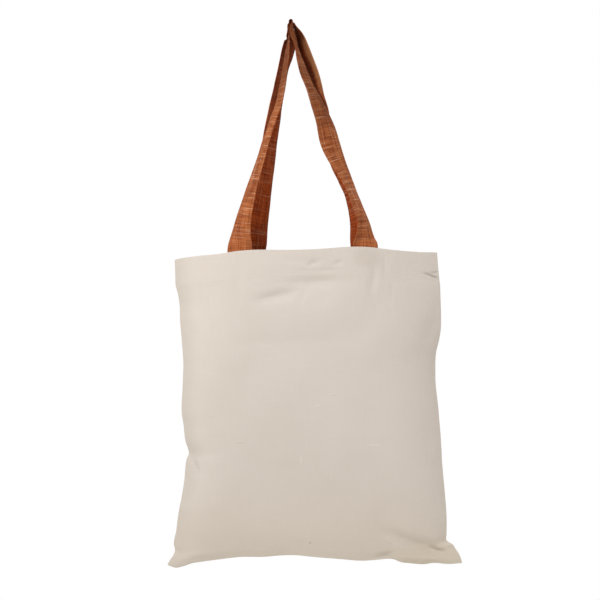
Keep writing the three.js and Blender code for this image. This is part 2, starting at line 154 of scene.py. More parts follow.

# Places across a strap where its painted shade and painted light start and are full
SHADED_ACROSS = (12, -8)
# the painted light's start and full places come second
LIT_ACROSS = (3, -6)
HOLLOW_ABOVE, HOLLOW_BELOW = 0, -16  # where the painted shade in the hollow starts, high up and low down
HOLLOW_EDGE = 7  # width of its soft edge
HOLLOW_SHIFTS = (76, 100)  # drops between which it moves over
INNER_FACE = (0.3, -0.3)  # height in a strap's thickness where its inner face, painted darker as shade, starts and is full

# Side seams: share of the way up, left and right x, how far each bends to the back
SIDE_SEAMS = [
    (0, -159.5, 220.8, -6, -10),
    (0.006, -159, 220.6, -6, -9),
    (0.017, -156.5, 219.3, -5, -8),
    (0.026, -154, 217.9, -4, -6),
    (0.036, -151.8, 215.3, -2, -4),
    (0.0455, -150.9, 212.7, 0, -1),
    (0.056, -151.6, 209.6, 1.1, 1),
    (0.0605, -152.3, 205.8, 1.5, 3),
    (0.066, -152.6, 202.9, 1.8, 3.5),
    (0.085, -151.6, 202.6, 2, 3),
    (0.105, -149.6, 202.6, 1, 2),
    (0.144, -147.6, 202.4, 0, 1),
    (0.184, -145, 201.3, -1, 0),
    (0.223, -142, 199.9, 0, -1),
    (0.2825, -138.5, 197.6, 1, -2),
    (0.322, -137.3, 196.2, 1.5, -2),
    (0.3416, -136.2, 195.8, 2, -2),
    (0.3615, -133.1, 195.5, 2.4, -2),
    (0.381, -134.4, 195.1, 2, -1),
    (0.4, -137, 194.8, 1.5, 0),
    (0.46, -140, 192.9, 1, 1),
    (0.499, -142.1, 191.7, 0, 2),
    (0.579, -140.9, 188.6, -1, 5),
    (0.619, -140.4, 188.5, -0.5, 6),
    (0.657, -139.9, 188.7, 0, 6),
    (0.677, -140.3, 189.4, 0, 5),
    (0.716, -141.5, 192.9, 1, 3),
    (0.755, -142.8, 195, 1.5, 1),
    (0.795, -144.3, 195.1, 2, 0),
    (0.854, -145.3, 194.3, 3, -1),
    (0.894, -147.8, 193.7, 2, -1),
    (0.9135, -150, 192.8, 1.5, 0),
    (0.953, -150.6, 191.3, 1, 0),
    (1, -151.2, 189.9, 0, 0),
]

# Bottom seam: share of the way across, rise above the line between the corners, bend to the back
BOTTOM_SEAM = [
    (0, 0, 0),
    (0.0266, -3.4, -2),
    (0.054, -2, -1),
    (0.0815, 1.2, 0),
    (0.109, 2.4, 1),
    (0.191, 5.6, 3),
    (0.246, 7.6, 3),
    (0.328, 7.7, 2),
    (0.3825, 9.5, 1),
    (0.437, 9.6, 1),
    (0.492, 7.5, 0),
    (0.601, 3.6, 1),
    (0.656, 1.6, 1.6),
    (0.7106, 2.4, 2),
    (0.757, 3.8, 2),
    (0.772, 3, 1.9),
    (0.793, -0.3, 1.6),
    (0.82, -1.6, 1.1),
    (0.875, -2.6, -0.2),
    (0.902, -0.8, -0.8),
    (0.957, -1.6, -1.2),
    (0.985, -0.6, -0.8),
    (1, 0, 0),
]

# Mouth: share of the way across, rise above the line between the top corners
MOUTH = [
    (0, 0),
    (0.03, 1.8),
    (0.075, 3.2),
    (0.12, 4.2),
    (0.16, 4.8),
    (0.245, 8),
    (0.305, 8.8),
    (0.433, 7.4),
    (0.535, 7.4),
    (0.67, 9.2),
    (0.725, 8.6),
    (0.825, 4.2),
    (0.92, 1),
    (1, 0),
]

# Belly: share of the way up, depth in front of and behind the seams, squareness of its section
BELLY = [
    (0, 0, 0, 9),
    (0.03, 6, 5.5, 9),
    (0.08, 13, 11.5, 9),
    (0.16, 19, 17, 8.4),
    (0.28, 25.5, 23, 7.6),
    (0.42, 29.5, 26, 7),
    (0.6, 31.5, 28, 6.4),
    (0.78, 31.5, 28, 5),
    (0.9, 30.5, 27, 3.6),
    (1, 30, 26, 2.6),
]

# Folds: middle x and z, half length, half width, angle above level, depth, sharpness, tuck.
# A positive depth sinks in. A sharp fold has a crease for its bottom, a soft one a round hollow.
# A tuck is how far the cloth above the fold slides down over it.
Fold = namedtuple("Fold", "x z length width angle depth sharp tuck")
FRONT_FOLDS = [
    (-17, -350.5, 26, 7.5, 13, 4, 0, 0.4),
    (30, -333, 40, 5.5, 1.5, 2.6, 0.1, 0),
    (32, -331, 42, 17, 0, 1.7, 0, 0),
    (29, -309, 8, 2.6, 18, 2.1, 0, 0),
    (60.5, -309, 5.5, 2.6, 16, 2, 0, 0),
    (43, -318.5, 14, 2.4, 3, 0.7, 0, 0),
    (15.6, -319.5, 8, 2.4, 3, 0.6, 0, 0),
    (14, -306.5, 22, 3, -2, 0.6, 0, 0),
    (10, -375.5, 48, 22, 0, -1.5, 0, 0),
    (62, -359.5, 40, 24, 50, -1.6, 0, 0),
    (-30, -409.5, 34, 11, 0, 1.3, 0, 0),
    (38, -407.5, 50, 13, 8, 1, 0, 0),
    (100, -382.5, 40, 14, 55, 1, 0, 0),
    (16, -351.5, 14, 4, 65, 0.8, 0, 0),
    (105, -331, 17, 5, 84, 2, 0.2, 0),
    (120, -311, 15, 2.6, 92, 1.3, 0.4, 0),
    (128, -349, 12, 3, 84, 0.6, 0.3, 0),
    (-66, -329.5, 24, 8, 84, 1, 0, 0),
    (-118, -569.5, 30, 9, -62, 2.3, 0.2, 0),
    (181, -394.5, 24, 12, 70, 3, 0.2, 0),
    (157, -669.5, 36, 9, -24, 7.5, 0.2, 0.3),
    (174, -692.5, 44, 5, -2, -2.5, 0, 0),
    (120, -688, 10, 5, 12, 4, 0.2, 1.2),
    (-60, -467.5, 90, 26, 62, 0.8, 0, 0),
    (70, -517.5, 110, 30, 70, -0.8, 0, 0),
    (130, -557.5, 80, 24, -64, 0.8, 0, 0),
    (183.5, -325, 9, 1.4, -22, 3.6, 0.4, 2.3),
    (175, -322.2, 5, 1.2, 0, 1.3, 0.4, 0.9),
    (187, -320.2, 5, 1.3, 2, 2, 0.4, 1.1),
    (188.5, -678.5, 11, 3.6, -18, 8, 0.3, 3.4),
    (-122, -569, 9, 3, -66, 2.4, 0.3, 0.9),
]
BACK_FOLDS = [
    (18, -340, 80, 10, -3, 3, 0.3, 0),
    (-70, -555, 60, 14, 38, 3.2, 0.2, 0),
    (120, -495, 70, 16, -48, 2.8, 0.2, 0),
    (20, -645, 70, 14, 6, 3.4, 0.3, 0),
    (-52, -329.5, 26, 6, 88, 2, 0.4, 0),
    (92, -329.5, 26, 6, 92, 2, 0.4, 0),
    (166, -661.5, 44, 10, -24, 6, 0.3, 0),
    (-128, -669.5, 30, 9, 34, 4, 0.3, 0),
]

# Legs of the straps from the hem up: drop below the peg, middle x and y, turn of the width in plan
# (0 flat to the front, 90 edge-on, 180 flat on the right leg) and sag of the middle out of flat
FRONT_LEFT_LEG = [
    (292, -65, -23, 0, 0),
    (273, -63.8, -22.8, 36, 0.6),
    (255, -61, -22.5, 48, 1.2),
    (221, -52.3, -21.5, 60, 1.8),
    (174, -38, -20, 69, 1.8),
    (148, -30.5, -19.2, 70.5, 1.6),
    (129, -24.2, -18.5, 71, 1.5),
    (109, -17, -17.8, 71.5, 1.2),
    (90, -12.4, -17, 74, 1),
    (51, -6.2, -15, 77.5, 0.6),
    (32, -4.4, -14, 81, 0.3),
    (16, -2.7, -12.5, 89, 0.2),
]
FRONT_RIGHT_LEG = [
    (287, 95.4, -23, 180, 0),
    (280, 94.8, -22.9, 151, 0.3),
    (272, 94.5, -22.8, 135, 0.6),
    (255, 92.4, -22.5, 119, 1),
    (240, 87, -22, 117, 1.3),
    (221, 79.8, -21.5, 116, 1.6),
    (197.5, 69.5, -20.8, 122, 1.8),
    (174, 57.8, -20, 138, 2),
    (155, 50.4, -19.6, 145, 2),
    (129, 43.4, -19, 135, 1.8),
    (108, 35.4, -18.2, 127, 2.2),
    (90, 27.8, -17.5, 117.5, 2.6),
    (79, 22.6, -16.9, 113.5, 2.9),
    (69, 18.7, -16.2, 113, 3),
    (51, 12.5, -15, 107, 2.8),
    (32, 7.2, -14, 98, 1.6),
    (16, 2.9, -12.5, 104, 0.8),
    (8, 2.1, -11.8, 100, 0.4),
]
BACK_LEFT_LEG = [
    (292, -48.8, 20, 0, 0),
    (255, -44.9, 20.5, 26, 1),
    (221, -39, 21, 41, 1.6),
    (174, -31.6, 21, 52, 1.8),
    (129, -25, 20.5, 56.5, 1.6),
    (90, -17.9, 20, 64, 1),
    (51, -10.1, 19, 68, 0.6),
    (32, -4.9, 18, 62, 0.4),
    (16, -1.2, 16, 65, 0.2),
    (10, -3.2, 15, 78, 0.1),
]
BACK_RIGHT_LEG = [
    (287, 94.3, 20, 180, 0),
    (255, 90, 20.5, 139, 1),
    (221, 80, 21, 118, 1.4),
    (197.5, 69.8, 21, 117, 1.5),
    (174, 58.6, 21, 117, 1.6),
    (129, 46, 20.5, 110, 1.4),
    (109, 42.8, 20.2, 113, 1.3),
    (90, 38.6, 20, 105.5, 1.2),
    (69, 32.6, 19.5, 111, 2.2),
    (51, 26.1, 18.5, 114, 2.2),
    (32, 17.5, 17.5, 119, 1.8),
    (16, 13.2, 15.5, 109, 0.8),
    (6, 8.7, 14.2, 101, 0.3),
]


# Curves and folds


def mix(start, end, share):
    return start + (end - start) * share


def smoothstep(low, high, value):
    share = np.clip((value - low) / (high - low), 0, 1)
    return share * share * (3 - 2 * share)


def smooth_table(rows, at):
    """The other columns of a table, each on a smooth curve, at any values of its first column."""
    table = np.array(rows, float)
    keys, values = table[:, 0], table[:, 1:]
    slopes = np.diff(values, axis=0) / np.diff(keys)[:, None]
    tangents = np.vstack([slopes[:1], (slopes[1:] + slopes[:-1]) / 2, slopes[-1:]])
    at = np.clip(np.asarray(at, float), keys[0], keys[-1])
    row = np.clip(np.searchsorted(keys, at, side="right") - 1, 0, len(keys) - 2)
    width = (keys[row + 1] - keys[row])[..., None]
    share = (at[..., None] - keys[row][..., None]) / width
    found = (
        (2 * share**3 - 3 * share**2 + 1) * values[row]
        + (share**3 - 2 * share**2 + share) * width * tangents[row]
        + (3 * share**2 - 2 * share**3) * values[row + 1]
        + (share**3 - share**2) * width * tangents[row + 1]
    )
    return np.moveaxis(found, -1, 0)


def travelled(points):
    """How far along a line of points each one lies."""
    steps = np.linalg.norm(np.diff(points, axis=0), axis=1)
    return np.concatenate([[0], np.cumsum(steps)])


def ripple(x, z, waves, seed):
    """Uneven waves over points seen from the front."""
    height, length, own_seed = waves
    places = zip(np.ravel(x) / length, np.ravel(z) / length)
    rises = [noise.noise(Vector((across, up, seed + own_seed))) for across, up in places]
    return height * np.reshape(rises, np.shape(x))


def fold_places(fold, x, z):
    """Where points seen from the front lie along and above a fold, in its half lengths and half widths."""
    level, upright = math.cos(math.radians(fold.angle)), math.sin(math.radians(fold.angle))
    along = (x - fold.x) * level + (z - fold.z) * upright
    above = (z - fold.z) * level - (x - fold.x) * upright
    return along / fold.length, above / fold.width


def fold_depth(folds, x, z):
    """How far all the folds together sink the cloth at points seen from the front."""
    total = np.zeros_like(x)
    for fold in folds:
        along, above = fold_places(fold, x, z)
        soft = np.exp(-(above**2))
        crease = np.exp(-np.sqrt(above**2 + CREASE_ROUND) * CREASE_STEEPNESS)
        total += fold.depth * np.exp(-(along**2)) * mix(soft, crease, fold.sharp)
    return total


def fold_slide(folds, x, z):
    """How far the tucks slide the cloth sideways and down at points seen from the front."""
    slide_x, slide_z = np.zeros_like(x), np.zeros_like(x)
    for fold in folds:
        along, above = fold_places(fold, x, z)
        slide = fold.tuck * np.exp(-(along**2) - (above / TUCK_ABOVE - 1) ** 2)
        slide_x += slide * math.sin(math.radians(fold.angle))
        slide_z -= slide * math.cos(math.radians(fold.angle))
    return slide_x, slide_z


def crease_share(folds, x, z):
    """How deep points seen from the front lie in the tucked folds, from 0 to 1."""
    total = np.zeros_like(x)
    for fold in folds:
        along, above = fold_places(fold, x, z)
        near = np.exp(-(along**4) - ((above - SHADE_ABOVE) / SHADE_REACH) ** 2)
        total = np.maximum(total, min(1, fold.tuck / FULL_SHADE_TUCK) * near)
    return total


class Panel:
    """The front of the bag, on side -1, or the back, on side 1."""

    def __init__(self, side, folds, seed):
        self.side = side
        self.folds = [Fold(*row) for row in folds]
        self.seed = seed

    def belly(self, across, up):
        """How far the panel stands off the seams before it is folded."""
        front, back, square = smooth_table(BELLY, up)
        deepest = np.maximum(0, front if self.side < 0 else back)
        return deepest * (1 - np.abs(2 * across - 1) ** square)

    def sunk(self, x, z, up, edge, depth):
        """How far folds, waves and stitches sink the cloth, edge in from the seams and depth off them."""
        loose = 1 - smoothstep(HEM_START - HEM_STIFFNESS, HEM_START, up)
        waves = ripple(x, z, LONG_WAVES, self.seed) + ripple(x, z, SHORT_WAVES, self.seed)
        near_seam = np.exp(-((edge / PUCKER_REACH - 1) ** 2))
        fold = fold_depth(self.folds, x, z) * smoothstep(1, 1 - HEM_STIFFNESS, up)
        fold = fold + waves * mix(HEM_WAVES, 1, loose) + ripple(x, z, SEAM_PUCKERS, self.seed) * near_seam
        deepest = DEEPEST_FOLD[0] * depth + DEEPEST_FOLD[1] * edge
        highest = HIGHEST_FOLD[0] * depth + HIGHEST_FOLD[1] * edge
        fold = np.where(fold > 0, deepest * np.tanh(fold / np.maximum(deepest, TINY)), fold)
        fold = np.maximum(fold, -highest)
        from_stitches = ((1 - up) * BAG_HEIGHT - HEM_STITCH) / STITCH_GROOVE_WIDTH
        return fold + STITCH_GROOVE * np.exp(-(from_stitches**2)) * smoothstep(0, GROOVE_START, edge)

    def outer(self, across, up):
        """x, y, z of the outer face, and y of the seams there, in millimetres."""
        left, right, left_back, right_back = smooth_table(SIDE_SEAMS, up)
        rise, bend = smooth_table(BOTTOM_SEAM, across)
        (mouth_rise,) = smooth_table(MOUTH, across)
        x = mix(left, right, across)
        bottom_z = mix(BOTTOM_LEFT_Z, BOTTOM_RIGHT_Z, across) + rise
        top_z = mix(TOP_LEFT_Z, TOP_RIGHT_Z, across) + mouth_rise
        z = mix(bottom_z, top_z, up)
        side_bend = left_back * (1 - across) ** SEAM_FADE + right_back * across**SEAM_FADE
        seam = side_bend + bend * (1 - up) ** SEAM_FADE
        edge = np.minimum(np.minimum(x - left, right - x), z - bottom_z)
        edge = np.maximum(edge, 0)
        rounding = np.sqrt(SEAM_ROUND**2 - np.maximum(0, SEAM_ROUND - edge) ** 2)
        depth = self.belly(across, up)
        y = seam + self.side * (SEAM_GAP / 2 + rounding + depth - self.sunk(x, z, up, edge, depth))
        slide_x, slide_z = fold_slide(self.folds, x, z)
        tucked = smoothstep(0, TUCK_START, edge)
        return x + slide_x * tucked, y, z + slide_z * tucked, seam

    def at(self, across, up, wall):
        """Points at a depth of wall millimetres of cloth behind the outer face, as an array."""
        across, up, wall = np.broadcast_arrays(*(np.asarray(given, float) for given in (across, up, wall)))
        x, y, z, seam = self.outer(across, up)
        right = np.array(self.outer(np.minimum(across + SLOPE_STEP, 1), up)[:3])
        left = np.array(self.outer(np.maximum(across - SLOPE_STEP, 0), up)[:3])
        high = np.array(self.outer(across, np.minimum(up + SLOPE_STEP, 1))[:3])
        low = np.array(self.outer(across, np.maximum(up - SLOPE_STEP, 0))[:3])
        normal = np.cross(right - left, high - low, axis=0)
        facing = np.abs(normal[1]) / np.maximum(np.linalg.norm(normal, axis=0), TINY)
        reach = wall * np.minimum(1 / np.maximum(facing, TINY), STEEPEST_WALL)
        nearest = self.side * seam + SEAM_GAP / 2
        y = self.side * np.maximum(self.side * y - reach, nearest)
        return np.stack([x, y, z], axis=-1)


FRONT = Panel(side=-1, folds=FRONT_FOLDS, seed=4.3)
BACK = Panel(side=1, folds=BACK_FOLDS, seed=11.8)


# Meshes


def finished(name, bm):
    mesh = bpy.data.meshes.new(name)
    for face in bm.faces:
        face.smooth = True
    bm.to_mesh(mesh)
    bm.free()
    piece = bpy.data.objects.new(name, mesh)
    bpy.context.scene.collection.objects.link(piece)
    return piece


def sheet_from_grid(name, points, flat, crease, inner=None):
    """A mesh from a grid whose rows and columns are laid at points. Each has its flat place in the cloth, a
    crease share for the shade painted into a panel's folds and the painted shade, light and darkening of a
    strap, and an inner share of 1 on a strap's inner face."""
    rows, columns = points.shape[:2]
    bm = bmesh.new()
    cut = bm.loops.layers.uv.new("cloth")
    folded = bm.verts.layers.float.new("crease")
    inside = bm.verts.layers.float.new("inner")
    bmesh.ops.create_grid(bm, x_segments=columns - 1, y_segments=rows - 1, size=0.5)
    place = {}
    for vert in bm.verts:
        column = round((vert.co.x + 0.5) * (columns - 1))
        row = round((vert.co.y + 0.5) * (rows - 1))
        place[vert] = (row, column)
    for face in bm.faces:
        for loop in face.loops:
            loop[cut].uv = flat[place[loop.vert]]
    for vert, at in place.items():
        vert[folded] = crease[at]
        vert[inside] = 0 if inner is None else inner[at]
        vert.co = Vector(points[at]) * MM
    bmesh.ops.remove_doubles(bm, verts=bm.verts[:], dist=MERGE_DISTANCE)
    bmesh.ops.dissolve_degenerate(bm, edges=bm.edges[:], dist=SMALLEST_EDGE)
    open_edges = [edge for edge in bm.edges if edge.is_boundary]
    if open_edges:
        bmesh.ops.holes_fill(bm, edges=open_edges, sides=0)
    bmesh.ops.recalc_face_normals(bm, faces=bm.faces[:])
    return finished(name, bm)


# Panels


def edge_stops(length, spacing):
    """Distances from 0 to length, closer together at both ends where the cloth turns into a seam."""
    last = SEAM_STOPS[-1]
    count = round((length - 2 * last) / spacing)
    middle = np.linspace(last, length - last, count + 1)[1:-1]
    return np.array(SEAM_STOPS + list(middle) + [length - stop for stop in reversed(SEAM_STOPS)])


def panel_heights():
    """Heights of a panel's rows, closer together at the seam, the hem's stitches and fine creases."""
    hem_low, hem_high = BAG_HEIGHT - HEM_DEPTH - HEM_LINE_MARGIN, BAG_HEIGHT - HEM_STITCH + HEM_LINE_MARGIN
    fine_rows = [np.linspace(hem_low, hem_high, HEM_LINE_ROWS)]
    fine_rows += [np.arange(low, high, spacing) for low, high, spacing in FINE_ROWS]
    plain = [stop for stop in edge_stops(BAG_HEIGHT, ROW_SPACING) if stop <= BAG_HEIGHT - HEM_WALL / 2]
    for rows in fine_rows:
        low, high = rows[0] - ROW_CLEARANCE, rows[-1] + ROW_CLEARANCE
        plain = [stop for stop in plain if not low < stop < high]
    return np.array(sorted(plain + [row for rows in fine_rows for row in rows]))


def cut_places(points, is_inside):
    """Places in the flat cloth: in from its left edge, and up the outside, over the mouth and on inside."""
    width = points[..., 0] - points[:, :1, 0]
    rise = points[..., 2] - BOTTOM_LEFT_Z
    mouth = rise.max(axis=0)
    length = np.where(is_inside[:, None], 2 * mouth - rise, rise)
    return np.stack([width, length], axis=-1) * MM


def panel_sheet(name, panel):
    """One panel as a closed skin: up its outer face, over the rolled mouth, down the hem and the inside."""
    across = edge_stops(TOP_WIDTH, COLUMN_SPACING) / TOP_WIDTH
    heights = panel_heights()
    turns = np.radians(np.linspace(0, 180, ROLL_ROWS))
    roll = HEM_WALL / 2
    over_up = 1 - (roll - roll * np.sin(turns)) / BAG_HEIGHT
    over_wall = roll * (1 - np.cos(turns))
    hem_end = BAG_HEIGHT - HEM_DEPTH
    inner_wall = mix(CLOTH, HEM_WALL, smoothstep(hem_end - HEM_STEP, hem_end + HEM_STEP, heights))
    ups = np.concatenate([heights / BAG_HEIGHT, over_up, heights[::-1] / BAG_HEIGHT])
    walls = np.concatenate([0 * heights, over_wall, inner_wall[::-1]])
    points = panel.at(across[None, :], ups[:, None], walls[:, None])
    is_inside = np.arange(len(ups)) > len(heights) + len(turns) / 2
    crease = crease_share(panel.folds, points[..., 0], points[..., 2])
    return sheet_from_grid(name, points, cut_places(points, is_inside), crease)


# Straps


def strap_line(left_leg, right_leg, loop):
    """Sections along a strap from hem to hem: middles, turns and sags."""
    loop_x, loop_y, loop_z, radius = loop

    def on_leg(row):
        drop, x, y, turn, sag = row
        return x, y, -drop, turn, sag

    def on_peg(angle):
        x, z = loop_x + radius * math.cos(angle), loop_z + radius * math.sin(angle)
        return x, loop_y, z, SQUARE_TO_PEG, 0

    def touch(row, turning):
        beside, above = row[1] - loop_x, -row[0] - loop_z
        return math.atan2(above, beside) + turning * math.acos(radius / math.hypot(beside, above))

    first, last = 2 * math.pi + touch(left_leg[-1], -1), touch(right_leg[-1], 1)
    knots = [on_leg(row) for row in left_leg]
    knots += [on_peg(angle) for angle in np.linspace(first, last, LOOP_KNOTS)]
    knots += [on_leg(row) for row in reversed(right_leg)]
    knots = np.array(knots, float)
    gaps = np.sqrt(np.linalg.norm(np.diff(knots[:, :3], axis=0), axis=1))
    keys = np.concatenate([[0], np.cumsum(gaps)])
    curve = np.column_stack([keys, knots])
    samples = np.linspace(0, keys[-1], LINE_SAMPLES)
    middle = smooth_table(curve, samples)[:3].T
    steps = np.linalg.norm(np.diff(middle, axis=0), axis=1)
    from_peg = np.hypot(middle[1:, 0], middle[1:, 2])
    steps *= 1 + PEG_CROWDING * np.exp(-((from_peg / PEG_REACH) ** 2))
    crowded = np.concatenate([[0], np.cumsum(steps)])
    count = round(crowded[-1] / SECTION_SPACING)
    sections = np.interp(np.linspace(0, crowded[-1], count + 1), crowded, samples)
    found = smooth_table(curve, sections)
    return found[:3].T, found[3], found[4]


def strap_profile():
    """Places round a strap's cross-section: across its width and out of its outer face, closed."""
    half = STRAP_THICKNESS / 2
    flat_half = STRAP_WIDTH / 2 - half
    line = STRAP_WIDTH / 2 - STRAP_STITCH
    near = [flat_half] + [line + beside for beside in BESIDE_STITCHES]
    stops = np.array(sorted([-stop for stop in near] + list(STRAP_FACE) + near))
    groove = STRAP_GROOVE * np.exp(-(((np.abs(stops) - line) / STRAP_GROOVE_WIDTH) ** 2))
    face = np.column_stack([stops, half - groove])
    turns = np.radians(np.linspace(90, -90, EDGE_ROWS))[1:-1]
    edge = np.column_stack([flat_half + half * np.cos(turns), half * np.sin(turns)])
    return np.vstack([face, edge, face[::-1] * [1, -1], -edge, face[:1]])


def free_points(panel, middle, turn, sag, profile):
    """Points of a strap as it hangs from the peg, turned and sagging, with a slight wave in its edges."""
    places, heights = profile[:, 0], profile[:, 1]
    along = np.gradient(middle, axis=0)
    along /= np.linalg.norm(along, axis=1)[:, None]
    turn = np.radians(turn)
    over = np.column_stack([np.cos(turn), panel.side * np.sin(turn), 0 * turn])
    over -= along * np.sum(over * along, axis=1)[:, None]
    over /= np.linalg.norm(over, axis=1)[:, None]
    facing = panel.side * np.cross(along, over)
    from_peg = np.hypot(middle[:, 0], middle[:, 2])
    slack = np.clip((from_peg - TAUT_TO) / (SLACK_FROM - TAUT_TO), 0, 1)
    stops = travelled(middle)
    height, length, own_seed = STRAP_WANDER
    wander = [noise.noise(Vector((stop / length, panel.seed, own_seed))) for stop in stops]
    wander = height * np.array(wander)
    height, length, width = STRAP_WAVES
    waves = height * np.array(
        [
            [noise.noise(Vector((stop / length, place / width, panel.seed))) for place in places]
            for stop in stops
        ]
    )
    bow = sag[:, None] * (1 - (2 * places / STRAP_WIDTH) ** 2)[None, :] + waves * slack[:, None]
    return (
        middle[:, None, :]
        + over[:, None, :] * (places[None, :] + (wander * slack)[:, None])[..., None]
        + facing[:, None, :] * (heights[None, :] + bow)[..., None]
    )


def sew_on(panel, leg, direction, profile, above, free):
    """Points of a leg's tail inside the hem. The free sections, above the hem, settle on to it."""
    hem_x = leg[0][1]
    across = (hem_x - TOP_LEFT_X + direction * profile[:, 0]) / TOP_WIDTH
    inwards = panel.side * (SEWN_GAP + STRAP_THICKNESS / 2 - profile[:, 1])
    sewn = panel.at(across, 1.0, HEM_WALL)
    sewn[:, 1] -= inwards
    for section, height in zip(free, above):
        if height < SETTLING:
            section[:] = mix(sewn + [0, 0, height], section, smoothstep(0, SETTLING, height))
    drops = np.linspace(STRAP_TAIL, 0, TAIL_ROWS)[:-1]
    tail = panel.at(across[None, :], 1 - drops[:, None] / BAG_HEIGHT, HEM_WALL)
    tail[..., 1] -= inwards
    return tail


def strap_points(panel, left_leg, right_leg, loop, profile):
    """Points of a strap, a row for each section and a column for each place in profile."""
    middle, turn, sag = strap_line(left_leg, right_leg, loop)
    free = free_points(panel, middle, turn, sag, profile)
    half = math.ceil(len(middle) / 2)
    above_left = np.maximum(0, middle[:half, 2] + left_leg[0][0])
    above_right = np.maximum(0, middle[half:, 2] + right_leg[0][0])
    left_tail = sew_on(panel, left_leg, 1, profile, above_left, free[:half])
    right_tail = sew_on(panel, right_leg, -1, profile, above_right, free[half:])
    return np.concatenate([left_tail, free, right_tail[::-1]])


def strap_band(drop, strength, starts, full, fades, ends):
    """How strong one row of a strap's painted shade, painted light and darkening is at drops below the peg.
    """
    return strength * smoothstep(starts, full, drop) * smoothstep(ends, fades, drop)


def strap_shade_and_light(panel, points, profile, inner):
    """How much darker a strap is drawn: round the peg and higher up its legs, with painted shade on the
    front strap's right leg and in the hollow between the two straps. Below 0 is painted light, along the
    back strap's inner face."""
    drop, place = -points[..., 2], profile[:, 0]
    near_peg = PEG_DARKENING * np.exp(-((np.hypot(points[..., 0], drop) / PEG_DARKENING_REACH) ** 2))
    if panel.side < 0:
        left = strap_band(drop, *FRONT_LEFT_DARKER_UP) + strap_band(drop, *FRONT_LEFT_DARKER_TOP)
        darker_up = np.maximum(strap_band(drop, *FRONT_RIGHT_DARKER_UP), strap_band(drop, *FRONT_RIGHT_DARKER_TOP))
        # painted shade along the front strap's right leg
        right = np.maximum(darker_up, strap_band(drop, *FRONT_RIGHT_SHADED) * smoothstep(*SHADED_ACROSS, place))
    else:
        left = strap_band(drop, *BACK_LEFT_DARKER_UP)
        hollow_from = mix(HOLLOW_ABOVE, HOLLOW_BELOW, smoothstep(*HOLLOW_SHIFTS, drop))
        # painted shade in the hollow between the two straps
        hollow = strap_band(drop, *BACK_RIGHT_HOLLOW_SHADE) * smoothstep(hollow_from, hollow_from + HOLLOW_EDGE, place)
        # painted light along the back strap's inner face, taken off the painted shade
        right = (hollow - strap_band(drop, *BACK_RIGHT_PAINTED_LIGHT) * smoothstep(*LIT_ACROSS, place)) * inner
    is_right = (np.arange(len(points)) > len(points) / 2)[:, None]
    return near_peg + (1 - near_peg) * np.where(is_right, right, left)


def strap_sheet(name, panel, *line):
    profile = strap_profile()
    points = strap_points(panel, *line, profile)
    length, around = travelled(points.mean(axis=1)) * MM, travelled(profile) * MM
    flat = np.stack(np.broadcast_arrays(around[None, :], length[:, None]), axis=-1)
    inner = np.broadcast_to(smoothstep(*INNER_FACE, profile[:, 1]), points.shape[:2])
    return sheet_from_grid(name, points, flat, strap_shade_and_light(panel, points, profile, inner), inner)


# Stitches


def stitches(name, lines, length, pitch, thick, seed):
    """Rows of single stitches, each a small plump lozenge lying along its line of points."""
    chance = random.Random(seed)
    bm = bmesh.new()
    for line in lines:
        line = np.asarray(line) * MM
        stops = travelled(line)
        for number in range(int(stops[-1] / (pitch * MM))):
            middle = (number + 0.5) * pitch * MM
            half = length * MM / 2 * chance.uniform(*STITCH_LENGTHS)
            start, end = (
                Vector([np.interp(stop, stops, column) for column in line.T])
                for stop in (middle - half, middle + half)
            )
            turn = (end - start).to_track_quat("X", "Z").to_matrix().to_4x4()
            size = Matrix.Diagonal((half, thick * MM / 2, thick * MM / 2, 1))
            place = Matrix.Translation((start + end) / 2) @ turn @ size
            bmesh.ops.create_icosphere(bm, subdivisions=1, radius=1, matrix=place)
    return finished(name, bm)


def hem_lines(panel):
    """The hem's stitch line on the outside and on the inside."""
    across = np.linspace(HEM_STITCH_INSET, 1 - HEM_STITCH_INSET, HEM_LINE_POINTS)
    up = 1 - HEM_STITCH / BAG_HEIGHT
    return [panel.at(across, up, wall) for wall in (0.0, HEM_WALL)]


def tail_lines(panel, legs):
    """The stitched box that holds each strap's tail, on the outside of the hem and on the tail."""
    wide = STRAP_WIDTH / 2 - STRAP_STITCH
    top, bottom = TAIL_BOX_TOP, TAIL_BOX_BOTTOM
    corners = np.array([(-wide, top), (wide, top), (wide, bottom), (-wide, bottom), (-wide, top)])
    sides = zip(corners, corners[1:])
    box = np.concatenate([np.linspace(start, end, BOX_SIDE_POINTS) for start, end in sides])
    lines = []
    for leg in legs:
        hem_x = leg[0][1]
        across = (hem_x + box[:, 0] - TOP_LEFT_X) / TOP_WIDTH
        up = 1 - box[:, 1] / BAG_HEIGHT
        for wall in (0, HEM_WALL + SEWN_GAP + STRAP_THICKNESS):
            lines.append(panel.at(across, up, wall))
    return lines


def strap_lines(panel, line):
    """Both edge stitch lines of a strap, on its two faces."""
    row = STRAP_WIDTH / 2 - STRAP_STITCH
    depth = STRAP_THICKNESS / 2 - STITCH_SUNK
    places = np.array([(row, depth), (-row, depth), (row, -depth), (-row, -depth)])
    points = strap_points(panel, *line, places)
    return [points[:, column] for column in range(len(places))]


# Weaves: pitch of the threads across and along in metres, and how much they wander
CALICO_WEAVE = (0.00062, 0.00066, 0.5)
HANDLOOM_WEAVE = (0.0011, 0.0012, 0.8)
ONE_WAVE = 0.31416  # scale at which a wave texture repeats once in a metre
WANDER_DETAIL, WANDER_SCALE = 1.0, 0.4

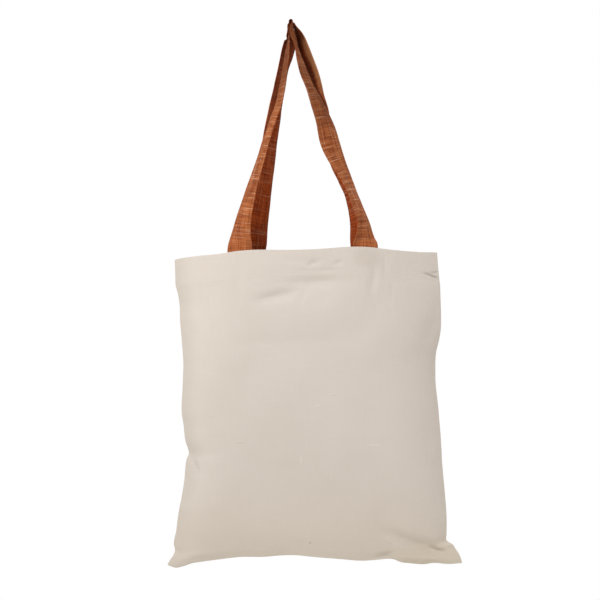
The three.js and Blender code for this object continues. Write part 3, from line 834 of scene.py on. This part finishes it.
# Uneven threads: how often they change in a metre, across and along
SLUBS_ACROSS, SLUBS_UP = (34, 1050), (1150, 28)
HANDSPUN_ACROSS, HANDSPUN_ALONG = (26, 520), (560, 18)
PALE_ACROSS, PALE_ALONG = (16, 760), (820, 11)
DEEP_ACROSS, DEEP_ALONG = (30, 640), (700, 24)
FINE_DETAIL = 3.0
HANDSPUN_ROUGHNESS = 0.6
SLUB_ACROSS_RELIEF, SLUB_UP_RELIEF, HANDSPUN_RELIEF = 0.8, 0.7, 1.2  # beside the weave's own relief of 1

# Other patterns: how often they change in a metre
CALICO_MOTTLE, CALICO_FLECKS = 9.0, 55.0
HANDLOOM_MOTTLE = 60.0
THREAD_TWIST = 900.0
FLOOR_GRAIN = 30.0

# Colours: dim and bright cream, and rust on the straps' outer faces and, darker as painted shade, on their
# inner faces
CREAM = (0.578, 0.515, 0.459, 1), (0.592, 0.529, 0.474, 1)
CREAM_RANGE = (0.3, 0.7)  # of the mottling
DARK_RUST = (0.18, 0.038, 0.012, 1), (0.135, 0.015, 0.003, 1)
LIGHT_RUST = (0.5, 0.16, 0.054, 1), (0.42, 0.078, 0.016, 1)
RUST_RANGE = (0.36, 0.62)  # of the dye
DYE_BY_THREADS, DYE_BY_MOTTLE = 0.8, 0.2
CREAM_THREAD = (0.66, 0.6, 0.53, 1), (0.52, 0.46, 0.39, 1)
RUST_THREAD = (0.4, 0.16, 0.07, 1), (0.22, 0.075, 0.03, 1)
PALE_FLOOR = (0.73, 0.7, 0.635, 1), (0.77, 0.74, 0.675, 1)
FLOOR_ROUGHNESS = 0.9

# Tints: value of a pattern where the tint starts and where it is full, strength and colour
PALE_SLUBS = (0.6, 0.78, 0.3, (0.7, 0.645, 0.58, 1))
DIM_SLUBS = (0.4, 0.25, 0.25, (0.46, 0.4, 0.33, 1))
DARK_FLECKS = (0.03, 0.012, 0.45, (0.3, 0.22, 0.15, 1))
CALICO_GAPS = (0.25, 0.0, 0.1, (0.42, 0.36, 0.29, 1))
# painted shade, darker and browner towards the bottom where the cloth turns under
SHADED_BOTTOM = (0.13, 0.0, 0.2, (0.575, 0.495, 0.375, 1))
# painted shade along the left side seam, where the cloth turns away
SHADED_LEFT_EDGE = (0.026, 0.0, 0.3, (0.4, 0.355, 0.3, 1))
DEEP_THREADS = (0.4, 0.3, 0.62, (0.1, 0.019, 0.007, 1))
HANDLOOM_GAPS = (0.3, 0.0, 0.35, (0.1, 0.02, 0.008, 1))

# Pale threads of the straps, weaker on the inner faces as part of their painted shade
PALE_ACROSS_RANGE, PALE_ALONG_RANGE = (0.58, 0.68), (0.6, 0.7)
PALE_OUTSIDE, PALE_INSIDE = 0.7, 0.36
PALE_THREAD = (0.7, 0.39, 0.235, 1)

# Shades painted by a share held by the mesh: strength and colour. A strap's share paints shade and
# darkening above 0, and painted light below 0.
FOLD_SHADE = (0.55, (0.25, 0.21, 0.165, 1))
# painted shade and darkening, drawn in where a strap's share is above 0
SHADE_AND_DARKENING = (0.85, (0.04, 0.006, 0.002, 1))
# painted light, drawn in where a strap's share is below 0
PAINTED_LIGHT = (-0.7, (0.85, 0.42, 0.185, 1))

# Finishes: relief in metres, roughness, gloss, sheen and its colour
CALICO_FINISH = (0.00022, 0.93, 0.15, 0.12, (0.95, 0.92, 0.88, 1))
HANDLOOM_FINISH = (0.0004, 0.9, 0.01, 0.05, (0.9, 0.5, 0.3, 1))
THREAD_FINISH = (0.0001, 0.8, 0.15, 0.15, (0.95, 0.9, 0.85, 1))
SHEEN_ROUGHNESS = 0.6

# Marks on the front: middle, reach, strength and colour of a stain, some thick or dark threads, the strap's
# tail showing through the hem, and painted shade by the bottom right corner
FRONT_MARKS = [
    ((0.0247, -0.03, -0.6697), (0.002, 0.05, 0.002), 0.6, (0.2, 0.13, 0.08, 1)),
    ((0.106, -0.03, -0.5411), (0.013, 0.05, 0.0011), 0.22, (0.8, 0.76, 0.7, 1)),
    ((-0.065, -0.03, -0.5385), (0.01, 0.05, 0.0009), 0.3, (0.36, 0.3, 0.24, 1)),
    ((0.013, -0.03, -0.5595), (0.001, 0.05, 0.008), 0.3, (0.78, 0.74, 0.68, 1)),
    ((0.034, -0.03, -0.4905), (0.004, 0.05, 0.001), 0.3, (0.78, 0.74, 0.68, 1)),
    ((0.055, -0.03, -0.4775), (0.005, 0.05, 0.001), 0.3, (0.4, 0.33, 0.27, 1)),
    ((0.098, -0.03, -0.3025), (0.024, 0.05, 0.018), 0.2, (0.4, 0.33, 0.28, 1)),
    # painted shade by the bottom right corner, where the cloth above overhangs it
    ((0.195, -0.01, -0.693), (0.085, 0.05, 0.035), 0.4, (0.44, 0.37, 0.27, 1)),
]
MARK_RANGE = (1.0, 0.4)  # shares of the reach where a mark starts and is full


# Materials


def material(name):
    made = bpy.data.materials.new(name)
    made.use_nodes = True
    tree = made.node_tree
    tree.nodes.clear()
    return made, tree


def node(tree, kind, settings=None, **values):
    """A node with plain values set on its sockets and other nodes' outputs linked to them.
    A socket goes by its name, or by i and its number."""
    made = tree.nodes.new("ShaderNode" + kind)
    for key, value in (settings or {}).items():
        setattr(made, key, value)
    for key, value in values.items():
        socket = made.inputs[int(key[1:])] if key[0] == "i" and key[1:].isdigit() else made.inputs[key]
        if isinstance(value, bpy.types.NodeSocket):
            tree.links.new(value, socket)
        else:
            socket.default_value = value
    return made


def math_node(tree, operation, first, second, clamp=False):
    settings = {"operation": operation, "use_clamp": clamp}
    return node(tree, "Math", settings, i0=first, i1=second).outputs[0]


def vector_node(tree, operation, first, second):
    return node(tree, "VectorMath", {"operation": operation}, i0=first, i1=second).outputs[0]


def ranged(tree, value, low, high, to_low=0.0, to_high=1.0):
    return node(
        tree,
        "MapRange",
        {"interpolation_type": "SMOOTHSTEP"},
        **{"Value": value, "From Min": low, "From Max": high, "To Min": to_low, "To Max": to_high},
    ).outputs["Result"]


def strongest(tree, first, *others):
    for other in others:
        first = math_node(tree, "MAXIMUM", first, other)
    return first


def raised(tree, height, pattern, share):
    """A height with a share of a pattern added to it."""
    return math_node(tree, "ADD", height, math_node(tree, "MULTIPLY", pattern, share))


def blend_colour(tree, share, first, second):
    return node(tree, "Mix", {"data_type": "RGBA"}, i0=share, i6=first, i7=second).outputs[2]


def painted(tree, tone, share, strength, colour):
    """The tone drawn to a colour, by a share and an overall strength."""
    return blend_colour(tree, math_node(tree, "MULTIPLY", share, strength, clamp=True), tone, colour)


def tinted(tree, tone, tint, *patterns):
    """The tone drawn to a tint's colour wherever one of the patterns reaches the tint's range."""
    low, high, strength, colour = tint
    shares = [ranged(tree, pattern, low, high) for pattern in patterns]
    return painted(tree, tone, strongest(tree, *shares), strength, colour)


def noise_value(tree, vector, scale, detail=2.0, rough=0.5):
    return node(tree, "TexNoise", Vector=vector, Scale=scale, Detail=detail, Roughness=rough).outputs[0]


def streaks(tree, cut, often, detail=2.0, rough=0.5):
    """Noise drawn out along the threads."""
    return noise_value(tree, vector_node(tree, "MULTIPLY", cut, (*often, 1)), 1.0, detail, rough)


def ridges(tree, cut, direction, pitch, wander):
    """Rounded ridges of threads at a pitch in metres."""
    return node(
        tree,
        "TexWave",
        {"wave_type": "BANDS", "bands_direction": direction, "wave_profile": "SIN"},
        **{
            "Vector": cut,
            "Scale": ONE_WAVE / pitch,
            "Distortion": wander,
            "Detail": WANDER_DETAIL,
            "Detail Scale": WANDER_SCALE,
        },
    ).outputs["Fac"]


def woven(tree, cut, across, along, wander):
    """1 on top of the threads and 0 in the gaps between them."""
    warp = ridges(tree, cut, "X", across, wander)
    weft = ridges(tree, cut, "Y", along, wander)
    return math_node(tree, "MULTIPLY", warp, weft)


def spot(tree, place, middle, reach):
    """1 in the middle of an oval on the cloth and 0 beyond its reach, from the object's own coordinates."""
    away = vector_node(tree, "SUBTRACT", place, middle)
    share = vector_node(tree, "DIVIDE", away, reach)
    distance = node(tree, "VectorMath", {"operation": "LENGTH"}, i0=share).outputs["Value"]
    return ranged(tree, distance, *MARK_RANGE)


def mesh_share(tree, name):
    return node(tree, "Attribute", {"attribute_name": name}).outputs["Fac"]


def cut_coordinates(tree):
    return node(tree, "UVMap", {"uv_map": "cloth"}).outputs[0]


def object_coordinates(tree):
    return node(tree, "TexCoord").outputs["Object"]


def cloth_surface(tree, colour, height, relief, rough, gloss, sheen, sheen_tint):
    bump = node(tree, "Bump", Strength=1.0, Distance=relief, Height=height).outputs[0]
    shader = node(
        tree,
        "BsdfPrincipled",
        **{
            "Base Color": colour,
            "Roughness": rough,
            "Normal": bump,
            "Sheen Weight": sheen,
            "Sheen Roughness": SHEEN_ROUGHNESS,
            "Sheen Tint": sheen_tint,
            "Specular IOR Level": gloss,
        },
    )
    node(tree, "OutputMaterial", Surface=shader.outputs[0])


def calico_material(name, marks):
    """Unbleached plain weave: fine threads both ways, slubs, faint mottling and the front's own marks."""
    made, tree = material(name)
    cut, place = cut_coordinates(tree), object_coordinates(tree)
    weave = woven(tree, cut, *CALICO_WEAVE)
    slub_across = streaks(tree, cut, SLUBS_ACROSS, FINE_DETAIL)
    slub_up = streaks(tree, cut, SLUBS_UP, FINE_DETAIL)
    mottle = ranged(tree, noise_value(tree, cut, CALICO_MOTTLE), *CREAM_RANGE)
    fleck = node(tree, "TexVoronoi", Vector=cut, Scale=CALICO_FLECKS).outputs["Distance"]
    from_left, from_bottom = node(tree, "SeparateXYZ", Vector=cut).outputs[:2]
    tone = blend_colour(tree, mottle, *CREAM)
    tone = tinted(tree, tone, PALE_SLUBS, slub_across, slub_up)
    tone = tinted(tree, tone, DIM_SLUBS, slub_across, slub_up)
    tone = tinted(tree, tone, DARK_FLECKS, fleck)
    tone = tinted(tree, tone, CALICO_GAPS, weave)
    tone = painted(tree, tone, mesh_share(tree, "crease"), *FOLD_SHADE)
    for middle, reach, strength, colour in marks:
        tone = painted(tree, tone, spot(tree, place, middle, reach), strength, colour)
    # painted shade towards the bottom and along the left side
    tone = tinted(tree, tone, SHADED_BOTTOM, from_bottom)
    tone = tinted(tree, tone, SHADED_LEFT_EDGE, from_left)
    height = raised(tree, weave, slub_across, SLUB_ACROSS_RELIEF)
    height = raised(tree, height, slub_up, SLUB_UP_RELIEF)
    cloth_surface(tree, tone, height, *CALICO_FINISH)
    return made


def handloom_material(name):
    """Thick handspun threads both ways, unevenly dyed from dark red-brown to rust, with fine pale threads.
    The inner faces are given a deeper, darker colour as painted shade."""
    made, tree = material(name)
    cut, inner, shade_and_light = cut_coordinates(tree), mesh_share(tree, "inner"), mesh_share(tree, "crease")
    weave = woven(tree, cut, *HANDLOOM_WEAVE)
    across = streaks(tree, cut, HANDSPUN_ACROSS, FINE_DETAIL, HANDSPUN_ROUGHNESS)
    along = streaks(tree, cut, HANDSPUN_ALONG, FINE_DETAIL, HANDSPUN_ROUGHNESS)
    threads = math_node(tree, "MULTIPLY", math_node(tree, "ADD", across, along), 0.5)
    mottle = noise_value(tree, cut, HANDLOOM_MOTTLE, FINE_DETAIL)
    dye = raised(tree, math_node(tree, "MULTIPLY", threads, DYE_BY_THREADS), mottle, DYE_BY_MOTTLE)
    # the inner faces take the darker rust, as painted shade
    dark, light = blend_colour(tree, inner, *DARK_RUST), blend_colour(tree, inner, *LIGHT_RUST)
    tone = blend_colour(tree, ranged(tree, dye, *RUST_RANGE), dark, light)
    pale_across = ranged(tree, streaks(tree, cut, PALE_ACROSS), *PALE_ACROSS_RANGE)
    pale_along = ranged(tree, streaks(tree, cut, PALE_ALONG), *PALE_ALONG_RANGE)
    pale_strength = ranged(tree, inner, 0.0, 1.0, PALE_OUTSIDE, PALE_INSIDE)
    tone = painted(tree, tone, strongest(tree, pale_across, pale_along), pale_strength, PALE_THREAD)
    deep_across, deep_along = streaks(tree, cut, DEEP_ACROSS), streaks(tree, cut, DEEP_ALONG)
    tone = tinted(tree, tone, DEEP_THREADS, deep_across, deep_along)
    tone = tinted(tree, tone, HANDLOOM_GAPS, weave)
    # painted shade and darkening, then painted light, from the mesh's share
    tone = painted(tree, tone, shade_and_light, *SHADE_AND_DARKENING)
    tone = painted(tree, tone, shade_and_light, *PAINTED_LIGHT)
    cloth_surface(tree, tone, raised(tree, weave, threads, HANDSPUN_RELIEF), *HANDLOOM_FINISH)
    return made


def thread_material(name, colour, shade):
    made, tree = material(name)
    twist = noise_value(tree, object_coordinates(tree), THREAD_TWIST)
    cloth_surface(tree, blend_colour(tree, twist, colour, shade), twist, *THREAD_FINISH)
    return made


def floor_material(name):
    made, tree = material(name)
    grain = noise_value(tree, object_coordinates(tree), FLOOR_GRAIN, FINE_DETAIL)
    colour = blend_colour(tree, grain, *PALE_FLOOR)
    shader = node(tree, "BsdfPrincipled", **{"Base Color": colour, "Roughness": FLOOR_ROUGHNESS})
    node(tree, "OutputMaterial", Surface=shader.outputs[0])
    return made


front_calico = calico_material("calico front", FRONT_MARKS)
back_calico = calico_material("calico back", [])
handloom = handloom_material("handloom")
cream_thread = thread_material("cream thread", *CREAM_THREAD)
rust_thread = thread_material("rust thread", *RUST_THREAD)

# Pieces
front_line = (FRONT_LEFT_LEG, FRONT_RIGHT_LEG, FRONT_LOOP)
back_line = (BACK_LEFT_LEG, BACK_RIGHT_LEG, BACK_LOOP)
front_panel = panel_sheet("front_cloth", FRONT)
back_panel = panel_sheet("back_cloth", BACK)
front_strap = strap_sheet("front_handle", FRONT, *front_line)
back_strap = strap_sheet("back_handle", BACK, *back_line)
front_seams = hem_lines(FRONT) + tail_lines(FRONT, front_line[:2])
back_seams = hem_lines(BACK) + tail_lines(BACK, back_line[:2])
front_hem = stitches("front_hem_stitches", front_seams, *HEM_THREAD, seed=1)
back_hem = stitches("back_hem_stitches", back_seams, *HEM_THREAD, seed=2)
front_edging = stitches("front_handle_stitches", strap_lines(FRONT, front_line), *STRAP_THREAD, seed=3)
back_edging = stitches("back_handle_stitches", strap_lines(BACK, back_line), *STRAP_THREAD, seed=4)

for piece, finish, node_name, slot_name in (
    (front_panel, front_calico, "front_panel", "calico"),
    (back_panel, back_calico, "back_panel", "calico"),
    (front_strap, handloom, "front_strap", "handloom"),
    (back_strap, handloom, "back_strap", "handloom"),
    (front_hem, cream_thread, "front_panel", "calico"),
    (back_hem, cream_thread, "back_panel", "calico"),
    (front_edging, rust_thread, "front_strap", "handloom"),
    (back_edging, rust_thread, "back_strap", "handloom"),
):
    piece.data.materials.append(finish)
    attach(piece, "root")
    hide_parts(node_name)

# Studio, in metres
FLOOR_Z, FLOOR_RADIUS, FLOOR_SIDES = -1.2, 1.6, 96
LAMP_AIM, LAMP_SIZE = (0, 0, -0.45), 0.4
KEY_PLACE, KEY_POWER = (-0.6, -0.9, 0.25), 8.5
BACK_PLACE, BACK_POWER = (0.7, 0.9, 0.1), 6
CAMERA_DISTANCE = 1.5  # in front of the seams
CAMERA_PLACE = (0.0117, -CAMERA_DISTANCE, -0.3564)
VIEW_WIDTH = 0.78  # at the seams
SENSOR_WIDTH = 36


def studio_floor():
    bm = bmesh.new()
    bmesh.ops.create_circle(bm, cap_ends=True, segments=FLOOR_SIDES, radius=FLOOR_RADIUS)
    bmesh.ops.translate(bm, verts=bm.verts[:], vec=(0, 0, FLOOR_Z))
    made = finished("studio_floor", bm)
    made.data.materials.append(floor_material("pale floor"))
    return made


def soft_light(name, place, power):
    lamp = bpy.data.lights.new(name, "AREA")
    lamp.shape = "DISK"
    lamp.size = LAMP_SIZE
    lamp.energy = power
    light = bpy.data.objects.new(name, lamp)
    light.location = place
    light.rotation_euler = (Vector(LAMP_AIM) - Vector(place)).to_track_quat("-Z", "Y").to_euler()
    bpy.context.scene.collection.objects.link(light)
    return light


floor = studio_floor()
key = soft_light("key_light", KEY_PLACE, KEY_POWER)
back_key = soft_light("back_light", BACK_PLACE, BACK_POWER)

world = bpy.data.worlds.new("white studio")
world.use_nodes = True
background = world.node_tree.nodes["Background"]
background.inputs["Color"].default_value = (1, 1, 1, 1)
background.inputs["Strength"].default_value = 1.0
bpy.context.scene.world = world
bpy.context.scene.view_settings.view_transform = "Standard"

lens = bpy.data.cameras.new("camera")
lens.sensor_width = SENSOR_WIDTH
lens.lens = SENSOR_WIDTH * CAMERA_DISTANCE / VIEW_WIDTH
camera = bpy.data.objects.new("camera", lens)
camera.location = CAMERA_PLACE
camera.rotation_euler = (math.pi / 2, 0, 0)
bpy.context.scene.collection.objects.link(camera)
bpy.context.scene.camera = camera
